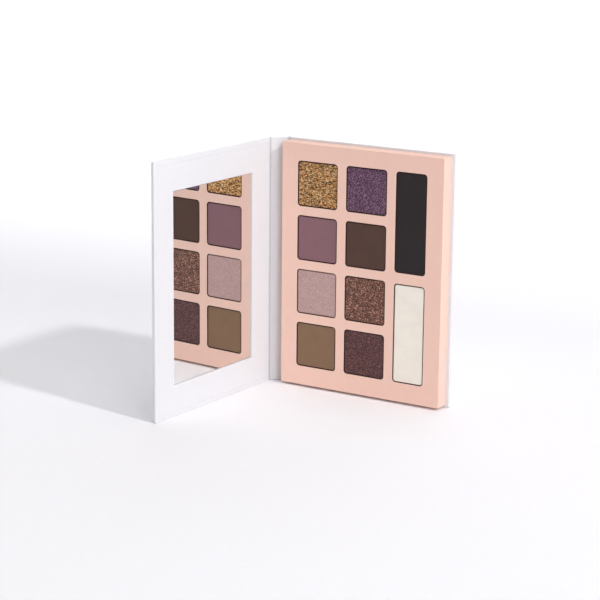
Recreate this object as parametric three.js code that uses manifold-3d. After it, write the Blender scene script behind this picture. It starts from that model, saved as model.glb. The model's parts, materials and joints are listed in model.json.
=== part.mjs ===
// Book-style eyeshadow palette, standing open on its lower edge.
// Two board covers and a spine share one white paper wrap that bends at two creases. A pink tray with
// ten pressed-powder pans is glued inside the back cover, and a framed mirror inside the front cover.
// Millimetres, +Z up. The origin is the middle of the back cover's lower edge, and the tray faces -Y.
import * as THREE from "three";
import { mergeVertices } from "three/addons/utils/BufferGeometryUtils.js";
import Module from "manifold-3d";

const wasm = await Module();
wasm.setup();

// Sheet goods
const PAPER = 0.15; // wrap, liners and the tray's pink paper
const GLUE = 0.05; // glue line between two laminated layers
const TURN_IN = 10; // wrap paper folded over an edge onto the inner face
const SEAM = 0.3; // gap between a liner and the turned-in paper around it

// Covers and spine
const COVER_HEIGHT = 124.4;
const BACK_WIDTH = 92.85; // rear crease to free edge
const FRONT_WIDTH = 92.1; // front crease to free edge
const COVER_THICKNESS = 1.8;
const THIN_BOARD = 0.65; // board of the spine and of the front cover
const THIN_PANEL = THIN_BOARD + 2 * (PAPER + GLUE);
const WRAP_SETBACK = 0.3; // outer paper stops this far from a crease line
const COVER_SETBACK = 1.3; // a cover's board keeps this far from its crease, so that the book shuts square
const SPINE_SETBACK = 1.6; // the same at both edges of the spine's board

// Tray
const TRAY_WIDTH = 89.5;
const TRAY_HEIGHT = 122;
const TRAY_DEPTH = 7.15;
const TRAY_LIFT = (COVER_HEIGHT - TRAY_HEIGHT) / 2;
const TRAY_FROM_CREASE = 1.45;
const DECK_BOARD = 1;
const TRAY_FLOOR = 2.2;

// Windows in the tray's deck, measured from its lower left corner
const WINDOW_LEFT = 9.05;
const WINDOW_BOTTOM = 9.65;
const SQUARE = 22.55;
const COLUMN_PITCH = 27.4;
const ROW_PITCH = 27.07;
const TALL_WIDTH = 16.75;
const TALL_HEIGHT = 49.2;
const WINDOW_RADIUS = 1.7;

// Pans
const PAN_CLEARANCE = 0.38; // between a pan and the edge of its window
const PAN_SHEET = 0.2; // tinplate
const PAN_TOP = 0.3; // rim below the deck's face
const PAN_DEPTH = 4.3;
const POWDER_TOP = 0.12;
const POWDER_BEVEL = 0.2;
const POWDER_CLEARANCE = 0.05;
const ADHESIVE_RADIUS = 6;
const ADHESIVE_THICKNESS = 0.2;

// Mirror and its frame, on the front cover
const MIRROR_START = 15.5; // front crease to the mirror window
const MIRROR_WIDTH = 62.5;
const MIRROR_HEIGHT = 93.2;
const MIRROR_RADIUS = 1.5;
const MIRROR_CLEARANCE = 0.2;
const MIRROR_TAPE = 0.1;
const MIRROR_SHEET = 0.25;
const TAPE_INSET = 2;

// Closing magnets: discs behind the tray's deck and in the back of the mirror frame
const MAGNET_RADIUS = 3;
const MAGNET_CLEARANCE = 0.2;
const MAGNET_X = 85; // from the tray's left wall
const MAGNET_SPREAD = 62; // between the upper and the lower one
const TRAY_MAGNET = 1.5;
const FRONT_MAGNET = 0.45;

// Fold, in degrees. Shut, the spine's tilt is 0 and the front fold is 90.
const SHUT_GAP = 0.25; // between the mirror frame and the tray when shut
const SPINE_WIDTH = 2 * COVER_THICKNESS + GLUE + TRAY_DEPTH + SHUT_GAP;
const SPINE_TILT = 44;
const FRONT_FOLD = 41.1;

const CORNER_SEGMENTS = 4;
const DISC_SEGMENTS = 20;
const BEYOND = 1; // cutters reach this far past what they cut

const PAPER_WHITE = { color: 0xf3f2f5, roughness: 0.45, metalness: 0 };
const PAPER_PINK = { color: 0xecc6b7, roughness: 0.55, metalness: 0 };
const GREYBOARD = { color: 0xa79f92, roughness: 0.95, metalness: 0 };
const TINPLATE = { color: 0xb9bcc0, roughness: 0.35, metalness: 1 };
const ADHESIVE = { color: 0xf2efe4, roughness: 0.6, metalness: 0 };
const NICKEL = { color: 0xc2c4c8, roughness: 0.25, metalness: 1 };
const SILVERED = { color: 0xf0f2f4, roughness: 0.03, metalness: 1 };

// Columns count from the left and rows from the bottom. The third column holds the two tall windows.
const SHADES = [
  { name: "olive", column: 0, row: 0, color: 0x866c52, roughness: 0.9, metalness: 0 },
  { name: "lilac", column: 0, row: 1, color: 0xb89b9b, roughness: 0.55, metalness: 0.15 },
  { name: "mauve", column: 0, row: 2, color: 0x86646e, roughness: 0.9, metalness: 0 },
  { name: "gold", column: 0, row: 3, color: 0xb08250, roughness: 0.4, metalness: 0.6 },
  { name: "plum", column: 1, row: 0, color: 0x5a4144, roughness: 0.55, metalness: 0.15 },
  { name: "bronze", column: 1, row: 1, color: 0x735248, roughness: 0.4, metalness: 0.5 },
  { name: "cocoa", column: 1, row: 2, color: 0x523e36, roughness: 0.9, metalness: 0 },
  { name: "violet", column: 1, row: 3, color: 0x5f4669, roughness: 0.45, metalness: 0.35 },
  { name: "cream", column: 2, row: 0, color: 0xe8e2d6, roughness: 0.9, metalness: 0 },
  { name: "black", column: 2, row: 1, color: 0x342e30, roughness: 0.9, metalness: 0 },
];

function solidOf(geometry) {
  const bare = geometry.clone();
  bare.deleteAttribute("normal");
  bare.deleteAttribute("uv");
  const merged = mergeVertices(bare);
  const vertProperties = merged.attributes.position.array;
  const triVerts = new Uint32Array(merged.index.array);
  return new wasm.Manifold(new wasm.Mesh({ numProp: 3, vertProperties, triVerts }));
}

function geometryOf(solid) {
  const mesh = solid.getMesh();
  const indexed = new THREE.BufferGeometry();
  indexed.setAttribute("position", new THREE.BufferAttribute(mesh.vertProperties, 3));
  indexed.setIndex(new THREE.BufferAttribute(mesh.triVerts, 1));
  const faceted = indexed.toNonIndexed();
  faceted.computeVertexNormals();
  return faceted;
}

function cut(body, cutters) {
  const left = cutters.reduce((rest, cutter) => rest.subtract(solidOf(cutter)), solidOf(body));
  return geometryOf(left);
}

function piece(name, geometry, look) {
  const mesh = new THREE.Mesh(geometry, new THREE.MeshStandardMaterial(look));
  mesh.name = name;
  return mesh;
}

// A box between two corners.
function block([x0, y0, z0], [x1, y1, z1]) {
  const box = new THREE.BoxGeometry(x1 - x0, y1 - y0, z1 - z0);
  return box.translate((x0 + x1) / 2, (y0 + y1) / 2, (z0 + z1) / 2);
}

// A rounded rectangle in X and Z, from its lower left corner.
function roundedRectangle(x, z, width, height, radius) {
  const outline = new THREE.Shape();
  const right = x + width;
  const top = z + height;
  outline.absarc(right - radius, z + radius, radius, -Math.PI / 2, 0);
  outline.absarc(right - radius, top - radius, radius, 0, Math.PI / 2);
  outline.absarc(x + radius, top - radius, radius, Math.PI / 2, Math.PI);
  outline.absarc(x + radius, z + radius, radius, Math.PI, 1.5 * Math.PI);
  return outline;
}

function rectangle(x, z, width, height) {
  const corners = [[x, z], [x + width, z], [x + width, z + height], [x, z + height]];
  return new THREE.Shape(corners.map(([a, b]) => new THREE.Vector2(a, b)));
}

// A plate with the given outline in X and Z, between two depths in Y.
function plate(outline, front, back, bevel = 0) {
  const sheet = new THREE.ExtrudeGeometry(outline, {
    depth: back - front - 2 * bevel,
    curveSegments: CORNER_SEGMENTS,
    bevelEnabled: bevel > 0,
    bevelThickness: bevel,
    bevelSize: bevel,
    bevelOffset: -bevel,
    bevelSegments: 1,
  });
  return sheet.rotateX(Math.PI / 2).translate(0, back - bevel, 0);
}

// A disc whose axis runs along Y, between two depths.
function disc(x, z, radius, front, back) {
  const round = new THREE.CylinderGeometry(radius, radius, back - front, DISC_SEGMENTS);
  return round.translate(x, (front + back) / 2, z);
}

// Cover and spine parts lie in a panel's own frame: X runs from the crease towards the free edge, Y from
// the outer face inwards, and Z is measured from mid-height.
const HALF = COVER_HEIGHT / 2;

// Outer paper of one panel: its outer face, its edges, and the flaps turned in onto the inner face.
// boardEnd is given only for the spine, which has a crease at both sides and no free edge.
function panelWrap(boardStart, end, thickness, boardEnd) {
  const open = boardEnd !== undefined;
  const far = end + BEYOND;
  const inner = thickness + BEYOND;
  const body = block([WRAP_SETBACK, 0, -HALF], [end, thickness, HALF]);
  const cavityHalf = HALF - PAPER;
  const cavityEnd = open ? far : end - PAPER;
  const windowHalf = HALF - TURN_IN;
  const windowEnd = open ? far : end - TURN_IN;
  const past = HALF + BEYOND;
  const cutters = [
    block([-BEYOND, PAPER, -past], [boardStart, inner, past]),
    block([0, PAPER, -cavityHalf], [cavityEnd, thickness - PAPER, cavityHalf]),
    block([0, PAPER, -windowHalf], [windowEnd, inner, windowHalf]),
  ];
  if (open) {
    cutters.push(block([boardEnd, PAPER, -past], [far, inner, past]));
  }
  return cut(body, cutters);
}

function panelBoard(start, end, thickness) {
  const half = HALF - PAPER - GLUE;
  const outer = PAPER + GLUE;
  return block([start, outer, -half], [end, outer + thickness, half]);
}

// Inner paper, flush with the turned-in flaps around it.
function panelLiner(start, end, thickness) {
  const half = HALF - TURN_IN - SEAM;
  return block([start, thickness - PAPER, -half], [end, thickness, half]);
}

function backCover() {
  const group = new THREE.Group();
  const boardEnd = BACK_WIDTH - PAPER - GLUE;
  const boardThickness = COVER_THICKNESS - 2 * (PAPER + GLUE);
  const linerEnd = BACK_WIDTH - TURN_IN - SEAM;
  group.add(
    piece("back_wrap", panelWrap(COVER_SETBACK, BACK_WIDTH, COVER_THICKNESS), PAPER_WHITE),
    piece("back_board", panelBoard(COVER_SETBACK, boardEnd, boardThickness), GREYBOARD),
    piece("back_liner", panelLiner(COVER_SETBACK, linerEnd, COVER_THICKNESS), PAPER_WHITE),
  );
  return group;
}

function spine() {
  const group = new THREE.Group();
  const boardEnd = SPINE_WIDTH - SPINE_SETBACK;
  const paperEnd = SPINE_WIDTH - WRAP_SETBACK;
  group.add(
    piece("spine_wrap", panelWrap(SPINE_SETBACK, paperEnd, THIN_PANEL, boardEnd), PAPER_WHITE),
    piece("spine_board", panelBoard(SPINE_SETBACK, boardEnd, THIN_BOARD), GREYBOARD),
    piece("spine_liner", panelLiner(SPINE_SETBACK, boardEnd, THIN_PANEL), PAPER_WHITE),
  );
  return group;
}

function windowOf({ column, row }) {
  const tall = column === 2;
  const width = tall ? TALL_WIDTH : SQUARE;
  const height = tall ? TALL_HEIGHT : SQUARE;
  const topRow = WINDOW_BOTTOM + 3 * ROW_PITCH + SQUARE;
  const stacked = row === 1 ? topRow - TALL_HEIGHT : WINDOW_BOTTOM;
  const z = tall ? stacked : WINDOW_BOTTOM + row * ROW_PITCH;
  return { x: WINDOW_LEFT + column * COLUMN_PITCH, z, width, height };
}

// The window's outline shrunk by an inset on every side.
function windowOutline({ x, z, width, height }, inset) {
  const lessWidth = width - 2 * inset;
  const lessHeight = height - 2 * inset;
  return roundedRectangle(x + inset, z + inset, lessWidth, lessHeight, WINDOW_RADIUS - inset);
}

// Tray parts lie in the tray's frame: X and Z from its lower left corner, Y from the deck's face backwards.
function trayShell() {
  const group = new THREE.Group();
  const windows = SHADES.map(windowOf);
  const deckFront = PAPER + GLUE;
  const deckBack = deckFront + DECK_BOARD;
  const floorBack = TRAY_DEPTH - GLUE;
  const floorFront = floorBack - TRAY_FLOOR;
  const inset = PAPER + GLUE;

  const withWindows = (outline) => {
    outline.holes.push(...windows.map((opening) => windowOutline(opening, 0)));
    return outline;
  };
  const layer = () => rectangle(inset, inset, TRAY_WIDTH - 2 * inset, TRAY_HEIGHT - 2 * inset);

  const body = block([0, 0, 0], [TRAY_WIDTH, TRAY_DEPTH, TRAY_HEIGHT]);
  const hollow = block([PAPER, PAPER, PAPER], [TRAY_WIDTH - PAPER, TRAY_DEPTH + BEYOND, TRAY_HEIGHT - PAPER]);
  const openings = windows.map((opening) => plate(windowOutline(opening, 0), -BEYOND, BEYOND));
  group.add(
    piece("tray_skin", cut(body, [hollow, ...openings]), PAPER_PINK),
    piece("deck_board", plate(withWindows(layer()), deckFront, deckBack), GREYBOARD),
    piece("tray_floor", plate(layer(), floorFront, floorBack), GREYBOARD),
  );

  const blockFront = deckBack + GLUE;
  const pocketBack = blockFront + TRAY_MAGNET + 2 * GLUE;
  const magnets = magnetHeights(TRAY_HEIGHT / 2);
  const pockets = magnets.map(({ z }) =>
    disc(MAGNET_X, z, MAGNET_RADIUS + MAGNET_CLEARANCE, blockFront - BEYOND, pocketBack),
  );
  const core = plate(withWindows(layer()), blockFront, floorFront - GLUE);
  group.add(piece("pan_block", cut(core, pockets), GREYBOARD));
  for (const { end, z } of magnets) {
    const front = blockFront + GLUE;
    const magnet = disc(MAGNET_X, z, MAGNET_RADIUS, front, front + TRAY_MAGNET);
    group.add(piece("tray_magnet_" + end, magnet, NICKEL));
  }
  return group;
}

function magnetHeights(middle) {
  return [
    { end: "lower", z: middle - MAGNET_SPREAD / 2 },
    { end: "upper", z: middle + MAGNET_SPREAD / 2 },
  ];
}

// A tinplate pan with its pressed powder, and the adhesive disc that holds it to the tray's floor.
function panAssembly(shade) {
  const group = new THREE.Group();
  const opening = windowOf(shade);
  const panBack = PAN_TOP + PAN_DEPTH;
  const floorInside = panBack - PAN_SHEET;
  const inside = PAN_CLEARANCE + PAN_SHEET;
  const cup = plate(windowOutline(opening, PAN_CLEARANCE), PAN_TOP, panBack);
  const hollow = plate(windowOutline(opening, inside), PAN_TOP - BEYOND, floorInside);
  const cake = windowOutline(opening, inside + POWDER_CLEARANCE);
  const powder = plate(cake, POWDER_TOP, floorInside - POWDER_CLEARANCE, POWDER_BEVEL);
  const x = opening.x + opening.width / 2;
  const z = opening.z + opening.height / 2;
  const discFront = panBack + GLUE;
  const pad = disc(x, z, ADHESIVE_RADIUS, discFront, discFront + ADHESIVE_THICKNESS);
  const { name, color, roughness, metalness } = shade;
  group.add(
    piece("pan_" + name, cut(cup, [hollow]), TINPLATE),
    piece("powder_" + name, powder, { color, roughness, metalness }),
    piece("pan_adhesive_" + name, pad, ADHESIVE),
  );
  return group;
}

function tray() {
  const group = new THREE.Group();
  group.add(trayShell(), ...SHADES.map(panAssembly));
  return group;
}

function frontCover() {
  const group = new THREE.Group();
  const boardEnd = FRONT_WIDTH - PAPER - GLUE;
  const linerEnd = MIRROR_START - TAPE_INSET;
  group.add(
    piece("front_wrap", panelWrap(COVER_SETBACK, FRONT_WIDTH, THIN_PANEL), PAPER_WHITE),
    piece("front_board", panelBoard(COVER_SETBACK, boardEnd, THIN_BOARD), GREYBOARD),
    piece("front_liner", panelLiner(COVER_SETBACK, linerEnd, THIN_PANEL), PAPER_WHITE),
    ...mirror(),
    ...mirrorFrame(),
  );
  return group;
}

function mirrorOutline(inset) {
  const width = MIRROR_WIDTH - 2 * inset;
  const height = MIRROR_HEIGHT - 2 * inset;
  return roundedRectangle(MIRROR_START + inset, -height / 2, width, height, MIRROR_RADIUS - inset);
}

function mirror() {
  const boardFace = PAPER + GLUE + THIN_BOARD;
  const tapeFront = boardFace + GLUE;
  const sheetFront = tapeFront + MIRROR_TAPE + GLUE;
  const tapeHeight = MIRROR_HEIGHT - 2 * TAPE_INSET;
  const tapeWidth = MIRROR_WIDTH - 2 * TAPE_INSET;
  const tape = rectangle(MIRROR_START + TAPE_INSET, -tapeHeight / 2, tapeWidth, tapeHeight);
  const sheet = mirrorOutline(MIRROR_CLEARANCE);
  return [
    piece("mirror_tape", plate(tape, tapeFront, tapeFront + MIRROR_TAPE), ADHESIVE),
    piece("mirror", plate(sheet, sheetFront, sheetFront + MIRROR_SHEET), SILVERED),
  ];
}

// A white card with the mirror's window, and two blind pockets in its back for the magnets.
function mirrorFrame() {
  const back = THIN_PANEL + GLUE;
  const outline = rectangle(COVER_SETBACK, -HALF, FRONT_WIDTH - COVER_SETBACK, COVER_HEIGHT);
  outline.holes.push(mirrorOutline(0));
  const x = MAGNET_X + TRAY_FROM_CREASE;
  const magnets = magnetHeights(0);
  const pocketRadius = MAGNET_RADIUS + MAGNET_CLEARANCE;
  const pocketEnd = back + FRONT_MAGNET + 2 * GLUE;
  const pockets = magnets.map(({ z }) => disc(x, z, pocketRadius, back - BEYOND, pocketEnd));
  const card = cut(plate(outline, back, COVER_THICKNESS), pockets);
  const discs = magnets.map(({ end, z }) =>
    piece("front_magnet_" + end, disc(x, z, MAGNET_RADIUS, back + GLUE, back + GLUE + FRONT_MAGNET), NICKEL),
  );
  return [piece("mirror_frame", card, PAPER_WHITE), ...discs];
}

// Each crease is a vertical line on the outer faces. The front cover turns on the spine, and the spine on
// the back cover. Half a turn about X lays the back cover's inner face towards -Y.
function palette() {
  const group = new THREE.Group();
  const rearCreaseX = -BACK_WIDTH / 2;
  const outerFace = COVER_THICKNESS / 2;

  const back = backCover();
  back.position.set(rearCreaseX, outerFace, HALF);
  back.rotation.x = Math.PI;

  const pans = tray();
  const deckFace = -outerFace - GLUE - TRAY_DEPTH;
  pans.position.set(rearCreaseX + TRAY_FROM_CREASE, deckFace, TRAY_LIFT);

  const front = frontCover();
  front.position.set(SPINE_WIDTH, 0, 0);
  front.rotation.z = THREE.MathUtils.degToRad(FRONT_FOLD);

  const hinged = spine();
  hinged.position.set(rearCreaseX, outerFace, HALF);
  hinged.rotation.z = THREE.MathUtils.degToRad(-90 - SPINE_TILT);
  hinged.add(front);

  group.add(back, pans, hinged);
  return group;
}

export default palette();
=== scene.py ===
import json
import math

import bmesh
import bpy
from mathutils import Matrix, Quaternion, Vector, noise


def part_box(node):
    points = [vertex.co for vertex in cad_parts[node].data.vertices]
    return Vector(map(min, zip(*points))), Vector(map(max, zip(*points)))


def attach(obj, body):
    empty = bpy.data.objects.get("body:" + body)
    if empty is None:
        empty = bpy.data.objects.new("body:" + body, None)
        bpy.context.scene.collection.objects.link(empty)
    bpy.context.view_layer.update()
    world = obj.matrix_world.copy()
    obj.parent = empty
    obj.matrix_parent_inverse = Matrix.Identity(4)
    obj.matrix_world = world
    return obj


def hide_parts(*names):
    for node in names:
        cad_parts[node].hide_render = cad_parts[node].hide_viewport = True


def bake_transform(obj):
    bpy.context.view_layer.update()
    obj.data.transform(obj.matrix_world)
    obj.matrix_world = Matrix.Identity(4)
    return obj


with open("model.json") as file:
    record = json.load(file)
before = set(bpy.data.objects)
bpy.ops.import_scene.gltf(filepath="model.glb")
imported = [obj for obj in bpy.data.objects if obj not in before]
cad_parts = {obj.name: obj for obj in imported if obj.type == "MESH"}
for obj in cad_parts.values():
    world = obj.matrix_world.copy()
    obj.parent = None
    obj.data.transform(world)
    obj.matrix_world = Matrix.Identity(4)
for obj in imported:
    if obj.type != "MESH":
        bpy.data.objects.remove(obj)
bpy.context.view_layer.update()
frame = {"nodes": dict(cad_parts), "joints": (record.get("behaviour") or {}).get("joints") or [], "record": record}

# Looks of a book-style eyeshadow palette: paper-wrapped covers, a pink tray of pressed powders, and a
# framed mirror. Lengths are metres in the row frame; MM turns millimetres into metres.
MM = 0.001
record = frame["record"]

# Camera
CAMERA_AIM = Vector((-15.7, -38.0, 53.1)) * MM
CAMERA_DISTANCE = 950 * MM
CAMERA_AZIMUTH = 31.5  # degrees, as are the next two
CAMERA_ELEVATION = 13.64
CAMERA_ROLL = 0.555
CAMERA_LENS = 119.2  # millimetres, on a 36 mm sensor

# Papers
PAPER = 0.13 * MM  # thickness of the wraps
LINER = 0.06 * MM  # how far an inner paper stands above the flaps turned in under it
TURN_IN = 10 * MM  # flap folded round to the inner side
EDGE_RADIUS = 0.42 * MM  # paper folded over the edge of a board
CORNER_RADIUS = 0.8 * MM  # corner of a cover, seen from its face
MARGIN = 2.6 * MM  # flap left bare round the front cover's inner paper
SPINE_MARGIN = 1.6 * MM  # the same, above and below the spine's inner paper
SLIT = 0.04 * MM  # between the edges of two papers
BOARD_END = 1.3 * MM  # crease to the end of a cover's board
SPINE_BOARD_END = 1.6 * MM  # crease to the end of the spine's board
BOARD_ROUND = 0.2 * MM  # paper over the end of a board, down into the gutter
GUTTER_ROUND = 0.12 * MM  # foot of the gutter's wall
GUTTER_DEPTH = 0.3 * MM  # outer face of a crease to the floor of its gutter
CREASE_SETBACK = 0.3 * MM  # crease to where the outer paper starts to turn
CREASE_REACH = 0.45 * MM  # crease to where the paper is flat again
PLY_GAP = 0.005 * MM  # between the two papers of a crease

# Tray
TRAY_EDGE = 0.32 * MM  # paper folded over the edges of the deck
TRAY_CORNER = 0.6 * MM  # corner of the tray, seen from the deck
WINDOW_EDGE = 0.07 * MM  # rounded edge of a window cut for a pan
WINDOW_RADIUS = 1.7 * MM  # corner of a window
PAN_CLEARANCE = 0.38 * MM  # pan to window

# Powders
POWDER_GAP = 0.61 * MM  # window to powder
POWDER_TOP = 0.19 * MM  # face of the deck to the powder's
POWDER_ROUND = 0.2 * MM  # rim of a powder's face
POWDER_ROUND_STEPS = 4
POWDER_STEP = 0.28 * MM  # between the points of a powder's face
FINER_RELIEF = 2.3  # how much finer the second layer of a powder's relief is, which is half as high

# Mirror
MIRROR_RADIUS = 0.3 * MM  # corner of the mirror, seen from its face
MIRROR_EDGE = 0.06 * MM  # rounded edge of the glass
MIRROR_SLIT = 0.2 * MM  # round the mirror, to the window of its card
MIRROR_LEAN = 0.3 * MM  # how much thicker the glue is under the mirror's free edge
FRAME_EDGE = 0.12 * MM  # rounded edges of the card
FRAME_CORNER = 0.5 * MM  # corner of the card, seen from its face

# Studio: strength of the light from the front and from behind, then the sweep of the floor in metres
FRONT_LIGHT = 0.27
BACK_LIGHT = 0.66
FLOOR_REACH = 6.0
FLOOR_START = 0.8  # palette to where the floor starts to rise
FLOOR_BEND = 1.5  # radius of the rise
FLOOR_BEND_STEPS = 15

ARC_STEPS = 5
CORNER_STEPS = 6
TINY = 0.01 * MM  # least radius of a corner
SAME_PLACE = TINY / 100  # vertices nearer than this are merged
SHARP_ANGLE = 50  # degrees between two faces, above which their edge stays sharp


# ---------------------------------------------------------------- panels

class Panel:
    """Frame of a cover or the spine: u from its crease along it, v from its outer face inwards, z up."""

    def __init__(self, start, along, inward):
        self.start = Vector((start.x, start.y, 0))
        self.along = along.normalized()
        self.inward = inward.normalized()

    def point(self, u, v, z=0.0):
        return self.start + self.along * u + self.inward * v + Vector((0, 0, z))


def joint_point(name):
    joint = next(j for j in frame["joints"] if j["name"] == name)
    return Vector(joint["pos_m"])


def mount_axis(name):
    return Vector(next(m for m in record["mounts"] if m["name"] == name)["axis"])


rear_crease = joint_point("rear_crease")
front_crease = joint_point("front_crease")
spine_along = front_crease - rear_crease
front_inward = -mount_axis("front_face")
back = Panel(rear_crease, Vector((1, 0, 0)), Vector((0, -1, 0)))
spine = Panel(rear_crease, spine_along, Vector((-spine_along.y, spine_along.x, 0)))
# The spine again, measured from the front crease, so that both creases are built by the same code.
spine_from_front = Panel(front_crease, -spine_along, spine.inward)
front = Panel(front_crease, Vector((front_inward.y, -front_inward.x, 0)), front_inward)


def span(panel, node, direction):
    """Least and greatest place of a CAD node along "u" or "v" of a panel."""
    axis = panel.along if direction == "u" else panel.inward
    places = [(v.co - panel.start).dot(axis) for v in frame["nodes"][node].data.vertices]
    return min(places), max(places)


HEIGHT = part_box("back_wrap")[1].z
BACK_WIDTH = span(back, "back_wrap", "u")[1]
FRONT_WIDTH = span(front, "front_wrap", "u")[1]
COVER_THICKNESS = span(back, "back_wrap", "v")[1]
SPINE_THICKNESS = span(spine, "spine_wrap", "v")[1]
SPINE_WIDTH = spine_along.length
DECK_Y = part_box("tray_skin")[0].y


# ---------------------------------------------------------------- mesh helpers

def make_piece(bm, name, body, material, replaces=(), relief=False, blend=None):
    """Turns a bmesh into a piece with its finish, riding on a body, or left where it stands with no body when
    blend is given.
    """
    bmesh.ops.remove_doubles(bm, verts=bm.verts, dist=SAME_PLACE)
    bmesh.ops.recalc_face_normals(bm, faces=bm.faces)
    mesh = bpy.data.meshes.new(name)
    bm.to_mesh(mesh)
    bm.free()
    mesh.materials.append(material)
    for polygon in mesh.polygons:
        polygon.use_smooth = True
    piece = bpy.data.objects.new(name, mesh)
    bpy.context.scene.collection.objects.link(piece)
    if not relief:
        mesh.set_sharp_from_angle(angle=math.radians(SHARP_ANGLE))
        weighted = piece.modifiers.new("even_normals", "WEIGHTED_NORMAL")
        weighted.keep_sharp = True
        weighted.weight = 100
    if replaces:
        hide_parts(*replaces)
    if blend:
        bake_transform(piece)
    else:
        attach(piece, body)


def arc(a, b, radius, first, last, steps=CORNER_STEPS):
    """Points of an arc about (a, b), between two angles in degrees."""
    turns = [math.radians(first + (last - first) * i / steps) for i in range(steps + 1)]
    return [(a + radius * math.cos(t), b + radius * math.sin(t)) for t in turns]


def rectangle(x0, z0, x1, z1, radius, inset=0.0):
    """Rounded outline, anticlockwise, shrunk by an inset. A negative inset grows it."""
    r = max(radius - inset, TINY)
    x0, z0, x1, z1 = x0 + inset + r, z0 + inset + r, x1 - inset - r, z1 - inset - r
    corners = [(x1, z0, -90), (x1, z1, 0), (x0, z1, 90), (x0, z0, 180)]
    return [p for x, z, turn in corners for p in arc(x, z, r, turn, turn + 90)]


def add_loop(bm, place, outline, depth):
    return [bm.verts.new(place(a, depth, b)) for a, b in outline]


def bridge(bm, first, second, closed=True):
    count = len(first)
    for i in range(count if closed else count - 1):
        j = (i + 1) % count
        bm.faces.new((first[i], first[j], second[j], second[i]))


def close_loft(bm, loops):
    """Skin over a row of loops, with a face at both ends."""
    for first, second in zip(loops, loops[1:]):
        bridge(bm, first, second)
    bm.faces.new(loops[0])
    bm.faces.new(loops[-1])


def fill_between(bm, loops):
    """Flat face inside an outer loop and outside the loops of its holes."""
    edges = []
    for loop in loops:
        for a, b in zip(loop, loop[1:] + loop[:1]):
            edges.append(bm.edges.get((a, b)) or bm.edges.new((a, b)))
    bmesh.ops.triangle_fill(bm, use_beauty=True, use_dissolve=False, edges=edges)


def fold_profile(radius, near, far):
    """Inset and depth round an edge whose faces lie at two depths."""
    start = arc(radius, near + radius, radius, 270, 180, ARC_STEPS)
    end = arc(radius, far - radius, radius, 180, 90, ARC_STEPS)
    return start + end


def round_plate(bm, place, outline_at, near, far, radius):
    """Closed plate with rounded edges at both faces; outline_at gives its outline at an inset."""
    profile = fold_profile(radius, near, far)
    close_loft(bm, [add_loop(bm, place, outline_at(inset), depth) for inset, depth in profile])


# ---------------------------------------------------------------- materials

def new_material(name):
    material = bpy.data.materials.new(name)
    material.use_nodes = True
    nodes = material.node_tree.nodes
    shader = next(n for n in nodes if n.type == "BSDF_PRINCIPLED")
    return material, nodes, material.node_tree.links, shader


def object_space(nodes):
    return nodes.new("ShaderNodeTexCoord").outputs["Object"]


def noise_of(nodes, links, where, size, detail=2.0, roughness=0.5):
    """Noise with features about size metres across."""
    node = nodes.new("ShaderNodeTexNoise")
    node.inputs["Scale"].default_value = 1 / size
    node.inputs["Detail"].default_value = detail
    node.inputs["Roughness"].default_value = roughness
    links.new(where, node.inputs["Vector"])
    return node.outputs["Fac"]


def vary_roughness(nodes, links, shader, value, low, high):
    """Roughness between low and high, following a value between 0 and 1."""
    node = nodes.new("ShaderNodeMapRange")
    node.inputs["To Min"].default_value = low
    node.inputs["To Max"].default_value = high
    links.new(value, node.inputs["Value"])
    links.new(node.outputs["Result"], shader.inputs["Roughness"])


def ramp(nodes, links, value, stops):
    node = nodes.new("ShaderNodeValToRGB")
    elements = node.color_ramp.elements
    while len(elements) < len(stops):
        elements.new(0.5)
    for element, (position, color) in zip(elements, stops):
        element.position = position
        element.color = (*color, 1)
    links.new(value, node.inputs["Fac"])
    return node.outputs["Color"]


def bump(nodes, links, shader, height, distance, under=None):
    node = nodes.new("ShaderNodeBump")
    node.inputs["Distance"].default_value = distance
    links.new(height, node.inputs["Height"])
    if under is not None:
        links.new(under, node.inputs["Normal"])
    links.new(node.outputs["Normal"], shader.inputs["Normal"])


def linear(hex_color):
    """Linear colour of an sRGB hex number."""
    channels = [(hex_color >> shift & 255) / 255 for shift in (16, 8, 0)]
    return [c / 12.92 if c <= 0.04045 else ((c + 0.055) / 1.055) ** 2.4 for c in channels]


def shade(color, factor):
    return [min(1.0, c * factor) for c in color]


def paper_material(name, hex_color, roughness, tooth):
    """Coated paper: faint mottling, fine tooth and uneven gloss."""
    material, nodes, links, shader = new_material(name)
    where = object_space(nodes)
    color = linear(hex_color)
    mottle = noise_of(nodes, links, where, 3 * MM, detail=5, roughness=0.65)
    stops = [(0.3, shade(color, 0.985)), (0.7, shade(color, 1.01))]
    links.new(ramp(nodes, links, mottle, stops), shader.inputs["Base Color"])
    gloss = noise_of(nodes, links, where, 0.8 * MM, detail=3)
    vary_roughness(nodes, links, shader, gloss, roughness - 0.06, roughness + 0.06)
    fibres = noise_of(nodes, links, where, 0.16 * MM, detail=4, roughness=0.7)
    bump(nodes, links, shader, fibres, tooth)
    shader.inputs["Specular IOR Level"].default_value = 0.4
    return material


def board_material(name, hex_color):
    """Board of recycled pulp with light and dark flecks."""
    material, nodes, links, shader = new_material(name)
    color = linear(hex_color)
    where = object_space(nodes)
    pulp = noise_of(nodes, links, where, 0.5 * MM, detail=8, roughness=0.75)
    stops = [(0.3, shade(color, 0.7)), (0.55, color), (0.75, shade(color, 1.3))]
    links.new(ramp(nodes, links, pulp, stops), shader.inputs["Base Color"])
    shader.inputs["Roughness"].default_value = 0.95
    bump(nodes, links, shader, pulp, 0.05 * MM)
    return material


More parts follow.
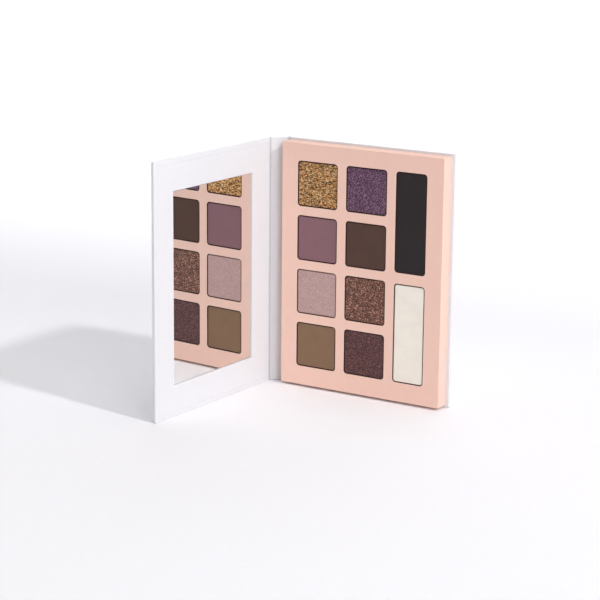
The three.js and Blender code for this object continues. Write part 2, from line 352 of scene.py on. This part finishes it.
def metal_material(name, hex_color, roughness, metallic=1.0):
    """Sheet metal with a fine rolled grain, plated. Where it is less metallic, its colour is that of the pans in
    the grooves round the powders, darkened to paint the shade there.
    """
    material, nodes, links, shader = new_material(name)
    stretch = nodes.new("ShaderNodeMapping")
    stretch.inputs["Scale"].default_value = (1, 1, 0.08)
    links.new(object_space(nodes), stretch.inputs["Vector"])
    grain = noise_of(nodes, links, stretch.outputs["Vector"], 0.05 * MM, detail=3)
    color = linear(hex_color)
    stops = [(0.3, shade(color, 0.9)), (0.7, color)]
    links.new(ramp(nodes, links, grain, stops), shader.inputs["Base Color"])
    vary_roughness(nodes, links, shader, grain, roughness - 0.08, roughness + 0.08)
    shader.inputs["Metallic"].default_value = metallic
    bump(nodes, links, shader, grain, 0.003 * MM)
    return material


def adhesive_material():
    """Double-sided tape: cloudy cream film."""
    material, nodes, links, shader = new_material("adhesive")
    tack = noise_of(nodes, links, object_space(nodes), 0.4 * MM, detail=4)
    stops = [(0.35, linear(0xE6E0CF)), (0.7, linear(0xF4F1E6))]
    links.new(ramp(nodes, links, tack, stops), shader.inputs["Base Color"])
    shader.inputs["Roughness"].default_value = 0.6
    bump(nodes, links, shader, tack, 0.02 * MM)
    return material


def mirror_material():
    """Silvered glass, its gloss barely clouded by dust."""
    material, nodes, links, shader = new_material("mirror_glass")
    dust = noise_of(nodes, links, object_space(nodes), 9 * MM, detail=6, roughness=0.6)
    stops = [(0.3, (0.86, 0.87, 0.87)), (0.8, (0.9, 0.91, 0.91))]
    links.new(ramp(nodes, links, dust, stops), shader.inputs["Base Color"])
    vary_roughness(nodes, links, shader, dust, 0.0, 0.02)
    shader.inputs["Metallic"].default_value = 1
    return material


def tinted(nodes, links, color, factor):
    """Colour multiplied by a grey."""
    mix = nodes.new("ShaderNodeMix")
    mix.data_type = "RGBA"
    mix.blend_type = "MULTIPLY"
    mix.inputs["Factor"].default_value = 1
    links.new(color, mix.inputs["A"])
    links.new(factor, mix.inputs["B"])
    return mix.outputs["Result"]


def matte_powder(name, hex_color, chalk=0.14):
    """Matte pressed powder: very soft clouds, and a grain whose depth of shade is chalk."""
    material, nodes, links, shader = new_material(name)
    where = object_space(nodes)
    color = linear(hex_color)
    clouds = noise_of(nodes, links, where, 5 * MM, detail=3)
    grain = noise_of(nodes, links, where, 0.25 * MM, detail=4, roughness=0.75)
    tint = ramp(nodes, links, clouds, [(0.3, shade(color, 0.975)), (0.7, shade(color, 1.025))])
    speck = ramp(nodes, links, grain, [(0.3, (1 - chalk,) * 3), (0.7, (1, 1, 1))])
    links.new(tinted(nodes, links, tint, speck), shader.inputs["Base Color"])
    shader.inputs["Roughness"].default_value = 0.88
    shader.inputs["Specular IOR Level"].default_value = 0.25
    shader.inputs["Sheen Weight"].default_value = 0.04
    bump(nodes, links, shader, grain, 0.02 * MM)
    return material


def vector_math(nodes, links, operation, first, second=None):
    node = nodes.new("ShaderNodeVectorMath")
    node.operation = operation
    links.new(first, node.inputs[0])
    if isinstance(second, tuple):
        node.inputs[1].default_value = second
    elif second is not None:
        links.new(second, node.inputs[1])
    return node


def shimmer_powder(name, colors, flake, tilt, metallic, roughness, streak,
                   stretch=1.7, edge=0xFFFFFF):
    """Shimmering powder: each flake has its own tint and lies tipped its own way, among streaks of
    painted shade. colors are the dark, middle and bright tints, flake a flake's size, tilt how far
    flakes are tipped, streak how dark the painted shade in the hollows between rows is, stretch how
    much wider than tall the flakes lie, and edge their tint when seen aslant."""
    material, nodes, links, shader = new_material(name)
    where = object_space(nodes)
    cells = nodes.new("ShaderNodeTexVoronoi")
    cells.inputs["Scale"].default_value = 1 / flake
    flat = nodes.new("ShaderNodeMapping")
    flat.inputs["Scale"].default_value = (1, 1, stretch)
    links.new(where, flat.inputs["Vector"])
    links.new(flat.outputs["Vector"], cells.inputs["Vector"])
    draw = nodes.new("ShaderNodeSeparateColor")
    links.new(cells.outputs["Color"], draw.inputs["Color"])
    dark, middle, bright = (linear(c) for c in colors)
    stops = [(0.05, dark), (0.4, middle), (0.7, middle), (0.95, bright)]
    tint = ramp(nodes, links, draw.outputs["Green"], stops)
    rows = noise_of(nodes, links, flat.outputs["Vector"], 2.2 * flake, detail=2, roughness=0.6)
    # the hollows between rows of flakes are darkened in colour: painted shade
    hollow = (1 - streak,) * 3
    shadow = ramp(nodes, links, rows, [(0.4, hollow), (0.56, (1, 1, 1))])
    links.new(tinted(nodes, links, tint, shadow), shader.inputs["Base Color"])
    fine = noise_of(nodes, links, where, 0.12 * MM, detail=3, roughness=0.7)
    vary_roughness(nodes, links, shader, fine, roughness - 0.12, roughness + 0.15)
    shader.inputs["Metallic"].default_value = metallic
    shader.inputs["Specular Tint"].default_value = (*linear(edge), 1)
    centred = vector_math(nodes, links, "SUBTRACT", cells.outputs["Color"], (0.5, 0.5, 0.5))
    tip = vector_math(nodes, links, "SCALE", centred.outputs[0])
    tip.inputs["Scale"].default_value = tilt
    normal = nodes.new("ShaderNodeNewGeometry").outputs["Normal"]
    tipped = vector_math(nodes, links, "ADD", normal, tip.outputs[0])
    unit = vector_math(nodes, links, "NORMALIZE", tipped.outputs[0])
    bump(nodes, links, shader, fine, 0.012 * MM, under=unit.outputs[0])
    return material


WHITE_PAPER = paper_material("white_paper", 0xE6E6EA, 0.5, 0.006 * MM)
PINK_PAPER = paper_material("pink_paper", 0xF8CFBF, 0.55, 0.008 * MM)
GREYBOARD = board_material("greyboard", 0xA89F90)
# dark brown board for the deck's window walls and the pan block, which show only in the grooves round the pans:
# painted shade there
SHADE_PAINTED_BOARD = board_material("dark_board", 0x4A2618)
# pans: dark brown colour that paints the shade in the grooves round the powders
SHADE_PAINTED_TIN = metal_material("tin_painted_shade", 0x3E1A10, 0.6, metallic=0.1)
# pans of the pale powders: dusted with them, and darkened to paint the shade in their grooves
DUSTED_SHADE_TIN = metal_material("dusted_tin_painted_shade", 0x8C7468, 0.7, metallic=0.1)
NICKEL = metal_material("nickel", 0xC2C4C8, 0.22)
ADHESIVE = adhesive_material()
MIRROR_GLASS = mirror_material()

GOLD = shimmer_powder(
    "powder_gold", (0x7A4A24, 0xE8AC70, 0xFFF4C8), flake=0.54 * MM, tilt=0.95, metallic=0.95,
    roughness=0.4, streak=0.8, stretch=2.2, edge=0xF0C088)
VIOLET = shimmer_powder(
    "powder_violet", (0x3A2034, 0x603A54, 0xB48AAC), flake=0.34 * MM, tilt=0.55, metallic=0.2,
    roughness=0.45, streak=0.4)
LILAC = shimmer_powder(
    "powder_lilac", (0xB4908C, 0xC09C98, 0xDCC0BC), flake=0.35 * MM, tilt=0.3, metallic=0.1,
    roughness=0.6, streak=0.06)
BRONZE = shimmer_powder(
    "powder_bronze", (0x381C16, 0x764838, 0xE8AC94), flake=0.48 * MM, tilt=0.7, metallic=0.25,
    roughness=0.42, streak=0.5)
PLUM = shimmer_powder(
    "powder_plum", (0x341818, 0x583030, 0xA06868), flake=0.45 * MM, tilt=0.5, metallic=0.1,
    roughness=0.5, streak=0.45)

# Each powder's material, and the size and height of the relief of its pressed face
POWDERS = {
    "gold": (GOLD, 0.5 * MM, 0.06 * MM),
    "violet": (VIOLET, 0.4 * MM, 0.015 * MM),
    "mauve": (matte_powder("powder_mauve", 0x906A72), 1.2 * MM, 0.006 * MM),
    "cocoa": (matte_powder("powder_cocoa", 0x5A423A), 1.2 * MM, 0.006 * MM),
    "lilac": (LILAC, 0.6 * MM, 0.006 * MM),
    "bronze": (BRONZE, 0.4 * MM, 0.025 * MM),
    "olive": (matte_powder("powder_olive", 0x8E7058), 1.2 * MM, 0.006 * MM),
    "plum": (PLUM, 0.5 * MM, 0.018 * MM),
    "black": (matte_powder("powder_black", 0x302A2C), 1.2 * MM, 0.005 * MM),
    "cream": (matte_powder("powder_cream", 0xFAF2E6, chalk=0.03), 1.2 * MM, 0.006 * MM),
}


# ---------------------------------------------------------------- covers

def cover_paper(name, panel, body, width, thickness, flap, replaces):
    """Wrap of a cover: its outer face, the folds over three edges, and the flaps turned in."""
    profiles = []
    for skin in (0, PAPER):
        folds = fold_profile(EDGE_RADIUS - skin, skin, thickness - skin)
        folds = [(inset + skin, depth) for inset, depth in folds]
        profiles.append(folds + [(flap, thickness - skin)])

    def path(inset):
        r = max(CORNER_RADIUS - inset, TINY)
        right = width - inset - r
        lower = arc(right, inset + r, r, -90, 0)
        upper = arc(right, HEIGHT - inset - r, r, 0, 90)
        return [(BOARD_END, inset)] + lower + upper + [(BOARD_END, HEIGHT - inset)]

    bm = bmesh.new()
    outside, inside = ([add_loop(bm, panel.point, path(inset), depth) for inset, depth in profile]
                       for profile in profiles)
    for skin in (outside, inside):
        for first, second in zip(skin, skin[1:]):
            bridge(bm, first, second, closed=False)
        bm.faces.new(skin[0])
    bridge(bm, outside[-1], inside[-1], closed=False)
    for end in (0, -1):
        bridge(bm, [row[end] for row in outside], [row[end] for row in inside], closed=False)
    bm.faces.new((outside[0][0], outside[0][-1], inside[0][-1], inside[0][0]))
    make_piece(bm, name, body, WHITE_PAPER, replaces)


def sweep(bm, section, stations):
    """Closed section of (v, z) points carried along stations, each a point and its inward direction."""
    close_loft(bm, [[bm.verts.new(centre + inward * v + Vector((0, 0, z))) for v, z in section]
                    for centre, inward in stations])


def spine_paper():
    """Wrap of the spine's board: a C in section, folded at the top and bottom edges."""
    depth = SPINE_THICKNESS - LINER
    outside = fold_profile(EDGE_RADIUS, 0, depth) + [(TURN_IN, depth)]
    folds = fold_profile(EDGE_RADIUS - PAPER, PAPER, depth - PAPER)
    inside = [(inset + PAPER, v) for inset, v in folds] + [(TURN_IN, depth - PAPER)]
    lower = [(v, inset) for inset, v in reversed(outside)]
    upper = [(v, HEIGHT - inset) for inset, v in outside]
    back_down = [(v, HEIGHT - inset) for inset, v in reversed(inside)]
    back_up = [(v, inset) for inset, v in inside]
    bm = bmesh.new()
    ends = (SPINE_BOARD_END, SPINE_WIDTH - SPINE_BOARD_END)
    sweep(bm, lower + upper + back_down + back_up, [(spine.point(u, 0), spine.inward) for u in ends])
    make_piece(bm, "spine_paper", "spine", WHITE_PAPER, ["spine_wrap"])


def spine_inner_paper():
    bm = bmesh.new()
    lower, upper = SPINE_MARGIN, HEIGHT - SPINE_MARGIN
    near, far = SPINE_THICKNESS - LINER, SPINE_THICKNESS
    section = [(near, lower), (far, lower), (far, upper), (near, upper)]
    ends = (SPINE_BOARD_END, SPINE_WIDTH - SPINE_BOARD_END)
    sweep(bm, section, [(spine.point(u, 0), spine.inward) for u in ends])
    make_piece(bm, "spine_inner_paper", "spine", WHITE_PAPER, ["spine_liner"])


def pressed_side(panel, board_end, top, lift):
    """Inner face of a crease on one panel, from the panel's face down the end of its board to the floor
    of the gutter. lift raises it, for the paper that lies on it."""
    wall = board_end - BOARD_ROUND
    over = arc(board_end, top - BOARD_ROUND, BOARD_ROUND + lift, 90, 180, ARC_STEPS)
    into = arc(wall - GUTTER_ROUND, GUTTER_DEPTH + GUTTER_ROUND, GUTTER_ROUND - lift, 0, -90, ARC_STEPS)
    floor_depth = GUTTER_DEPTH + lift
    along_floor = [(wall / 2, floor_depth), (wall / 4, floor_depth)]
    return [panel.point(u, v) for u, v in over + into + along_floor]


def gutter_route(cover, hinge_side, lift):
    """Inner face of a whole crease in plan, from the cover to the spine."""
    middle = cover.start + (cover.inward + hinge_side.inward).normalized() * (GUTTER_DEPTH + lift)
    down = pressed_side(cover, BOARD_END, COVER_THICKNESS - LINER, lift)
    up = pressed_side(hinge_side, SPINE_BOARD_END, SPINE_THICKNESS - LINER, lift)
    return down + [middle] + up[::-1]


def outer_route(cover, hinge_side):
    """Outer face of a crease in plan, turning on a small radius."""
    turn = cover.along.angle(-hinge_side.along)
    radius = CREASE_SETBACK / math.tan(turn / 2)
    centre = cover.point(CREASE_SETBACK, radius)
    route = [cover.point(BOARD_END, 0)]
    for i in range(ARC_STEPS + 1):
        angle = math.copysign(turn * i / ARC_STEPS, side_of(cover, hinge_side))
        route.append(centre + Quaternion((0, 0, 1), angle) @ (-cover.inward * radius))
    return route + [hinge_side.point(SPINE_BOARD_END, 0)]


def side_of(cover, hinge_side):
    """Which way round Z the outer face turns from the cover to the spine."""
    return (-cover.inward).cross(-hinge_side.inward).z


def crease(name, cover, body, hinge_side):
    """Both plies of a paper hinge: the wrap with the gutter pressed into it, and the inner paper."""
    outside = outer_route(cover, hinge_side)
    gutter = gutter_route(cover, hinge_side, 0)
    near = gutter_route(cover, hinge_side, PLY_GAP)
    far = gutter_route(cover, hinge_side, LINER)
    plies = [("_paper", outside + gutter[::-1], 0), ("_inner_paper", near + far[::-1], SPINE_MARGIN)]
    bend = ("spine", cover.point(CREASE_REACH, 0), hinge_side.point(CREASE_REACH, 0))
    for suffix, outline, margin in plies:
        bm = bmesh.new()
        close_loft(bm, [[bm.verts.new(Vector((p.x, p.y, z))) for p in outline]
                        for z in (margin, HEIGHT - margin)])
        make_piece(bm, name + suffix, body, WHITE_PAPER, blend=bend)


# ---------------------------------------------------------------- mirror

def mirror_outline(inset):
    u0, u1 = span(front, "mirror", "u")
    low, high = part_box("mirror")
    return rectangle(u0, low.z, u1, high.z, MIRROR_RADIUS, inset)


def mirror_plate():
    near, far = span(front, "mirror", "v")
    start, end = span(front, "mirror", "u")

    def leaning(u, v, z):
        return front.point(u, v + MIRROR_LEAN * (u - start) / (end - start), z)

    bm = bmesh.new()
    round_plate(bm, leaning, mirror_outline, near, far, MIRROR_EDGE)
    make_piece(bm, "mirror_plate", "front_cover", MIRROR_GLASS, ["mirror"])


def mirror_card():
    """White card round the mirror, its outer edge and its window softly rounded."""
    near, far = span(front, "mirror_frame", "v")

    def outer_edge(inset):
        right, top = FRONT_WIDTH - MARGIN, HEIGHT - MARGIN
        return rectangle(BOARD_END, MARGIN, right, top, FRAME_CORNER, inset)

    def window_edge(inset):
        return mirror_outline(-MIRROR_SLIT - inset)

    soft = arc(FRAME_EDGE, far - FRAME_EDGE, FRAME_EDGE, 180, 90, ARC_STEPS)
    bm = bmesh.new()
    rims = []
    for outline_at in (outer_edge, window_edge):
        loops = [add_loop(bm, front.point, outline_at(0), near)]
        loops += [add_loop(bm, front.point, outline_at(inset), depth) for inset, depth in soft]
        for first, second in zip(loops, loops[1:]):
            bridge(bm, first, second)
        rims.append((loops[0], loops[-1]))
    fill_between(bm, [rims[0][0], rims[1][0]])
    fill_between(bm, [rims[0][1], rims[1][1]])
    make_piece(bm, "mirror_card", "front_cover", WHITE_PAPER, ["mirror_frame"])


# ---------------------------------------------------------------- tray

def deck_point(x, depth, z):
    return Vector((x, DECK_Y + depth, z))


def window_outline(shade_name, inset):
    low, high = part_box("pan_" + shade_name)
    x0, z0 = low.x - PAN_CLEARANCE, low.z - PAN_CLEARANCE
    x1, z1 = high.x + PAN_CLEARANCE, high.z + PAN_CLEARANCE
    return rectangle(x0, z0, x1, z1, WINDOW_RADIUS, inset)


def tray_paper():
    """Pink paper over the deck and down the tray's four sides, cut out at each pan."""
    low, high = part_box("tray_skin")
    depth = high.y - low.y

    def side(inset):
        return rectangle(low.x, low.z, high.x, high.z, TRAY_CORNER, inset)

    rounded = arc(TRAY_EDGE, TRAY_EDGE, TRAY_EDGE, 270, 180, ARC_STEPS)
    bm = bmesh.new()
    outside = [add_loop(bm, deck_point, side(inset), d) for inset, d in rounded + [(0, depth)]]
    inside = [add_loop(bm, deck_point, side(PAPER), d) for d in (PAPER + TRAY_EDGE, depth)]
    under = add_loop(bm, deck_point, side(TRAY_EDGE), PAPER)
    for first, second in zip(outside, outside[1:]):
        bridge(bm, first, second)
    bridge(bm, outside[-1], inside[1])
    bridge(bm, inside[1], inside[0])
    bridge(bm, inside[0], under)
    faces, backs = [outside[0]], [under]
    for shade_name in POWDERS:
        soft = arc(-WINDOW_EDGE, WINDOW_EDGE, WINDOW_EDGE, 270, 360, ARC_STEPS)
        loops = [add_loop(bm, deck_point, window_outline(shade_name, inset), d)
                 for inset, d in soft + [(0, PAPER)]]
        for first, second in zip(loops, loops[1:]):
            bridge(bm, first, second)
        faces.append(loops[0])
        backs.append(loops[-1])
    fill_between(bm, faces)
    fill_between(bm, backs)
    make_piece(bm, "tray_paper", "back_cover", PINK_PAPER, ["tray_skin"])


def side_points(width, radius, count):
    """Points evenly along one side of a rounded rectangle, from the middle of one corner's arc to the
    middle of the next: distance along the side, and distance in from it."""
    half = radius * math.pi / 4
    total = 2 * half + width - 2 * radius
    points = []
    for i in range(count):
        s = total * i / count
        if s < half:
            t = math.radians(225) + s / radius
            points.append((radius + radius * math.cos(t), radius + radius * math.sin(t)))
        elif s <= total - half:
            points.append((radius + s - half, 0))
        else:
            t = math.radians(270) + (s - total + half) / radius
            points.append((width - radius + radius * math.cos(t), radius + radius * math.sin(t)))
    return points


def even_outline(x0, z0, x1, z1, radius, across, up):
    width = side_points(x1 - x0, radius, across)
    height = side_points(z1 - z0, radius, up)
    outline = [(x0 + a, z0 + b) for a, b in width] + [(x1 - b, z0 + a) for a, b in height]
    return outline + [(x1 - a, z1 - b) for a, b in width] + [(x0 + b, z1 - a) for a, b in height]


def fill_patch(bm, rim, across, up):
    """Grid of quads inside a rim of 2 * (across + up) vertices, blended from its four sides."""
    lower = rim[:across + 1]
    right = rim[across:across + up + 1]
    upper = rim[across + up:2 * across + up + 1][::-1]
    left = (rim[2 * across + up:] + rim[:1])[::-1]
    grid = []
    for j in range(up + 1):
        t = j / up
        row = []
        for i in range(across + 1):
            s = i / across
            if j in (0, up):
                row.append((lower if j == 0 else upper)[i])
            elif i in (0, across):
                row.append((left if i == 0 else right)[j])
            else:
                sides = lower[i].co * (1 - t) + upper[i].co * t + left[j].co * (1 - s) + right[j].co * s
                corners = (lower[0].co * (1 - s) + lower[-1].co * s) * (1 - t)
                corners += (upper[0].co * (1 - s) + upper[-1].co * s) * t
                row.append(bm.verts.new(sides - corners))
        grid.append(row)
    for first, second in zip(grid, grid[1:]):
        bridge(bm, first, second, closed=False)


def powder(shade_name, material, grain, height):
    """Pressed powder: it fills the pan to its rim, and its face has the relief of its grain."""
    low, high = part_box("pan_" + shade_name)
    across = round((high.x - low.x) / POWDER_STEP)
    up = round((high.z - low.z) / POWDER_STEP)
    floor_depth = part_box("powder_" + shade_name)[1].y - DECK_Y

    def outline(gap):
        inset = gap - PAN_CLEARANCE
        x0, z0 = low.x + inset, low.z + inset
        x1, z1 = high.x - inset, high.z - inset
        return even_outline(x0, z0, x1, z1, WINDOW_RADIUS - gap, across, up)

    middle_gap, middle_depth = POWDER_GAP + POWDER_ROUND, POWDER_TOP + POWDER_ROUND
    edge = arc(middle_gap, middle_depth, POWDER_ROUND, 180, 270, POWDER_ROUND_STEPS)
    rings = [(POWDER_GAP, floor_depth)] + edge
    bm = bmesh.new()
    loops = [add_loop(bm, deck_point, outline(gap), d) for gap, d in rings]
    for first, second in zip(loops, loops[1:]):
        bridge(bm, first, second)
    bm.faces.new(loops[0])
    fill_patch(bm, loops[-1], across, up)
    for vertex in bm.verts:
        if vertex.co.y < DECK_Y + POWDER_TOP + POWDER_ROUND / 2:
            place = vertex.co / grain
            vertex.co.y += height * (noise.noise(place) + 0.5 * noise.noise(place * FINER_RELIEF))
    make_piece(bm, "pressed_" + shade_name, "back_cover", material,
               ["powder_" + shade_name], relief=True)


# ---------------------------------------------------------------- finishes of the CAD pieces

def finish_of(node):
    if "magnet" in node:
        return NICKEL
    if "adhesive" in node or node == "mirror_tape":
        return ADHESIVE
    # the deck board and pan block show only in the grooves, where their dark colour paints the shade
    if node in ("deck_board", "pan_block"):
        return SHADE_PAINTED_BOARD
    if node.endswith("_board") or node == "tray_floor":
        return GREYBOARD
    # pans of the pale powders: their dusted, half dark colour paints the shade in the groove
    if node in ("pan_cream", "pan_lilac"):
        return DUSTED_SHADE_TIN
    # the other pans: their dark colour paints the shade in the grooves
    if node.startswith("pan_"):
        return SHADE_PAINTED_TIN
    return WHITE_PAPER


for node, cad_piece in frame["nodes"].items():
    cad_piece.data.materials.clear()
    cad_piece.data.materials.append(finish_of(node))

cover_paper("back_paper", back, "back_cover", BACK_WIDTH, COVER_THICKNESS,
            flap=TURN_IN, replaces=["back_wrap"])
cover_paper("front_paper", front, "front_cover", FRONT_WIDTH, COVER_THICKNESS - LINER,
            flap=MARGIN - SLIT, replaces=["front_wrap"])
spine_paper()
spine_inner_paper()
crease("rear_crease", back, "back_cover", spine)
crease("front_crease", front, "front_cover", spine_from_front)
mirror_plate()
mirror_card()
tray_paper()
for shade_name, (material, grain, height) in POWDERS.items():
    powder(shade_name, material, grain, height)


# ---------------------------------------------------------------- studio

def floor():
    """Pale studio sweep, flat under the palette and rising far behind it."""
    bend = arc(FLOOR_START, FLOOR_BEND, FLOOR_BEND, -90, 0, FLOOR_BEND_STEPS)
    route = [(-FLOOR_REACH, 0)] + bend + [(FLOOR_START + FLOOR_BEND, FLOOR_REACH)]
    bm = bmesh.new()
    rows = [[bm.verts.new((x, y, z)) for x in (-FLOOR_REACH, FLOOR_REACH)] for y, z in route]
    for first, second in zip(rows, rows[1:]):
        bridge(bm, first, second, closed=False)
    mesh = bpy.data.meshes.new("studio_floor")
    bm.to_mesh(mesh)
    bm.free()
    for polygon in mesh.polygons:
        polygon.use_smooth = True
    sweep_object = bpy.data.objects.new("studio_floor", mesh)
    bpy.context.scene.collection.objects.link(sweep_object)
    mesh.materials.append(paper_material("studio_paper", 0xFBFAFD, 0.8, 0.01 * MM))


def area_light(name, towards, distance, size, power, facing=None):
    """Round softbox, placed from the palette's middle, and turned to it unless facing says otherwise."""
    light = bpy.data.lights.new(name, "AREA")
    light.shape = "DISK"
    light.size = size
    light.energy = power
    lamp = bpy.data.objects.new(name, light)
    direction = Vector(towards).normalized()
    lamp.location = CAMERA_AIM + direction * distance
    lamp.rotation_mode = "QUATERNION"
    lamp.rotation_quaternion = (Vector(facing) if facing else -direction).to_track_quat("-Z", "Y")
    bpy.context.scene.collection.objects.link(lamp)


def studio_light():
    """Soft light all round, dimmer from the front, with a key from the right and a lit backdrop."""
    world = bpy.data.worlds.new("studio")
    bpy.context.scene.world = world
    world.use_nodes = True
    nodes, links = world.node_tree.nodes, world.node_tree.links
    direction = nodes.new("ShaderNodeSeparateXYZ")
    links.new(nodes.new("ShaderNodeTexCoord").outputs["Generated"], direction.inputs["Vector"])
    strength = nodes.new("ShaderNodeMapRange")
    strength.inputs["From Min"].default_value = -1
    strength.inputs["To Min"].default_value = FRONT_LIGHT
    strength.inputs["To Max"].default_value = BACK_LIGHT
    links.new(direction.outputs["Y"], strength.inputs["Value"])
    links.new(strength.outputs["Result"], nodes["Background"].inputs["Strength"])
    nodes["Background"].inputs["Color"].default_value = (1, 1, 1, 1)
    area_light("key", (0.75, -0.135, 0.645), distance=3.2, size=0.24, power=38.4)
    area_light("fill", (0.9, -0.72, 0.35), distance=2.4, size=1.2, power=14.4)
    area_light("overhead", (0.0, 0.1, 1.0), distance=0.9, size=0.9, power=2.0)
    area_light("backdrop_light", (-0.5, 0.45, 0.9), distance=1.5, size=1.2, power=24,
               facing=(-0.2, 0.9, -0.4))


def camera():
    data = bpy.data.cameras.new("camera")
    data.lens = CAMERA_LENS
    viewer = bpy.data.objects.new("camera", data)
    azimuth, elevation = math.radians(CAMERA_AZIMUTH), math.radians(CAMERA_ELEVATION)
    level = math.cos(elevation)
    away = Vector((math.sin(azimuth) * level, -math.cos(azimuth) * level, math.sin(elevation)))
    viewer.location = CAMERA_AIM + away * CAMERA_DISTANCE
    viewer.rotation_mode = "QUATERNION"
    roll = Quaternion((0, 0, 1), math.radians(CAMERA_ROLL))
    viewer.rotation_quaternion = (-away).to_track_quat("-Z", "Y") @ roll
    bpy.context.scene.collection.objects.link(viewer)
    bpy.context.scene.camera = viewer


floor()
studio_light()
camera()
bpy.context.scene.view_settings.view_transform = "Standard"
